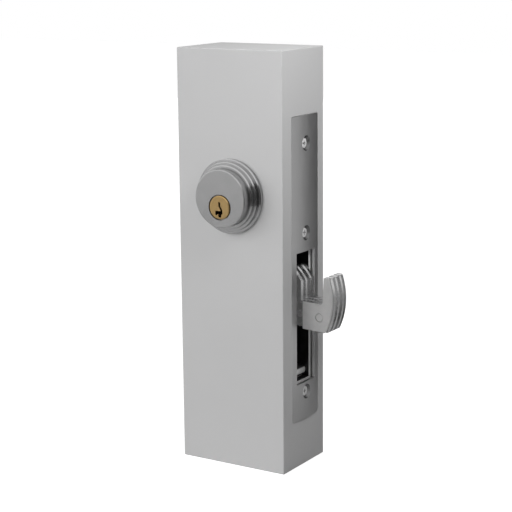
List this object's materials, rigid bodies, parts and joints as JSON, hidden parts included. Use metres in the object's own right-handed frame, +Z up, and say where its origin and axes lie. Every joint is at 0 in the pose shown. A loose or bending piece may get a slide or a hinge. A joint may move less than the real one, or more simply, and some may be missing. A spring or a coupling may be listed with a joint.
{
  "type": "sliding patio door lock",
  "caption": "Mortice hook lock with crowned faceplate, laminated swing hook and keyed cylinder, fitted in a short block of door stile.",
  "frame": {"origin": "middle of the stile block's bottom face", "axes": "+Z up the stile, -Y is the side with the key, +X is the edge with the faceplate and the hook"},
  "size_m": [0.0904, 0.0563, 0.235],
  "materials": {
    "stile_paint": "matt light grey paint",
    "plate_steel": "satin",
    "screw_steel": "plated",
    "case_zinc": "zinc plated",
    "ring_chrome": "satin chrome",
    "head_chrome": "satin chrome",
    "plug_brass": "satin",
    "spring_steel": "plain",
    "pin_steel": "ground",
    "cam_steel": "plain",
    "slide_steel": "zinc plated",
    "hook_steel": "plated, polished edges",
    "cheek_nickel": "satin nickel"
  },
  "bodies": {
    "stile": {"display_stile": "stile_paint", "faceplate": "plate_steel", "plate_fixing_screws": "screw_steel", "centre_screw": "screw_steel", "case_body": "case_zinc", "case_cover": "case_zinc", "cover_screws": "screw_steel", "cylinder_set_screw": "screw_steel", "cylinder_ring": "ring_chrome", "cylinder_shell": "head_chrome", "driver_pins": "plug_brass", "pin_springs": "spring_steel", "chamber_caps": "plug_brass", "guide_pin": "pin_steel", "detent_spring": "spring_steel", "detent_rivets": "pin_steel", "pivot_pin": "pin_steel", "pivot_washers": "pin_steel"},
    "plug": {"key_plug": "plug_brass", "key_pins": "plug_brass", "cylinder_cam": "cam_steel", "cam_screws": "screw_steel"},
    "slide": {"drive_slide": "slide_steel"},
    "hook": {"hook_plate_front": "hook_steel", "hook_plate_middle": "hook_steel", "hook_plate_rear": "hook_steel", "hook_cheek_front": "cheek_nickel", "hook_cheek_rear": "cheek_nickel", "claw_rivet": "cheek_nickel", "core_rivets": "pin_steel", "crank_pin": "pin_steel", "pivot_bush": "plug_brass"}
  },
  "joints": [
    {"name": "hook_swing", "type": "hinge", "parent": "stile", "child": "hook", "pos_m": [0.01725, 0.0014, 0.098], "axis": [0, 1, 0], "range_deg": [0, 90]},
    {"name": "slide_travel", "type": "slide", "parent": "stile", "child": "slide", "axis": [0, 0, 1], "range_m": [0, 0.01982]},
    {"name": "plug_turn", "type": "hinge", "parent": "stile", "child": "plug", "pos_m": [0.00075, 0.0014, 0.1502], "axis": [0, 1, 0], "range_deg": [-90, 0]}
  ],
  "couplings": [
    {"joint": "slide_travel", "follows": "hook_swing", "m_per_rad": 0.012604},
    {"joint": "plug_turn", "follows": "hook_swing", "ratio": -1}
  ]
}
